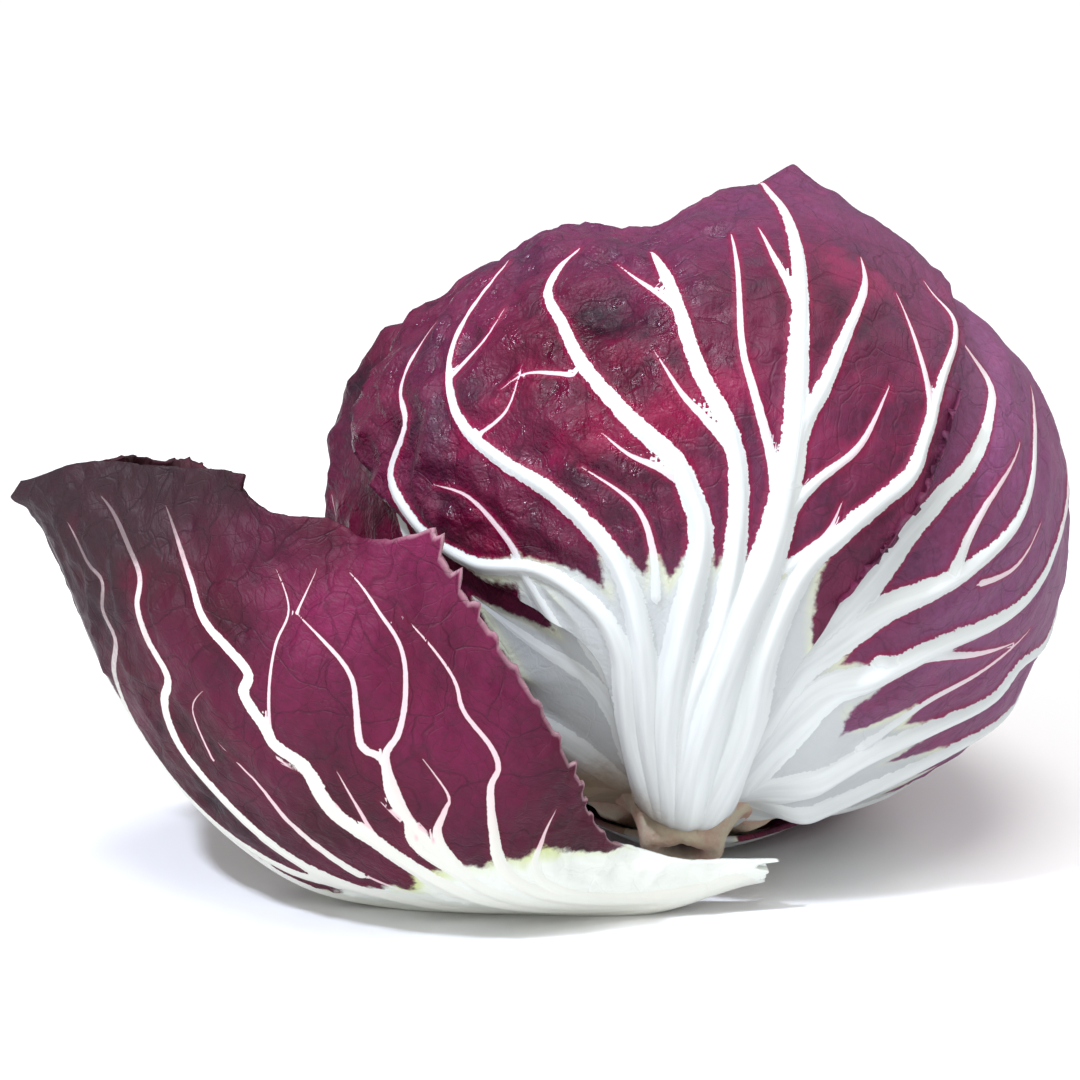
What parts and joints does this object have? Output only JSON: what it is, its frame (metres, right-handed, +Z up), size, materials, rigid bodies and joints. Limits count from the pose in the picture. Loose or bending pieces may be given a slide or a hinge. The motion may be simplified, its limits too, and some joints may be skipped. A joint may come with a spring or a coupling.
{
  "type": "radicchio head",
  "caption": "Round head of red radicchio with wrapped, white-ribbed leaves on a cut stem, and one outer leaf peeled back and lying beside it.",
  "frame": {"origin": "centre of the small flat spot that the head rests on, right under the middle of the head", "axes": "+Z up, -Y towards the side with the cut stem, +X away from the peeled leaf, along the longest extent"},
  "size_m": [0.1749, 0.1283, 0.1124],
  "materials": {
    "stem": "rough, moist cut flesh",
    "heart": "satin",
    "peeled_leaf": "satin leaf with raised white ribs",
    "wrapped_leaf": "glossy leaf with raised white ribs",
    "inner_leaf": "satin leaf"
  },
  "bodies": {
    "root": {"stem": "stem", "heart": "heart", "peeled_leaf": "peeled_leaf", "back_leaf": "wrapped_leaf", "front_leaf": "wrapped_leaf", "right_leaf": "wrapped_leaf", "left_leaf": "wrapped_leaf", "back_right_leaf": "wrapped_leaf", "back_left_leaf": "wrapped_leaf", "inner_front_leaf": "inner_leaf", "inner_back_leaf": "inner_leaf", "inner_right_leaf": "inner_leaf", "inner_left_leaf": "inner_leaf"}
  },
  "joints": []
}
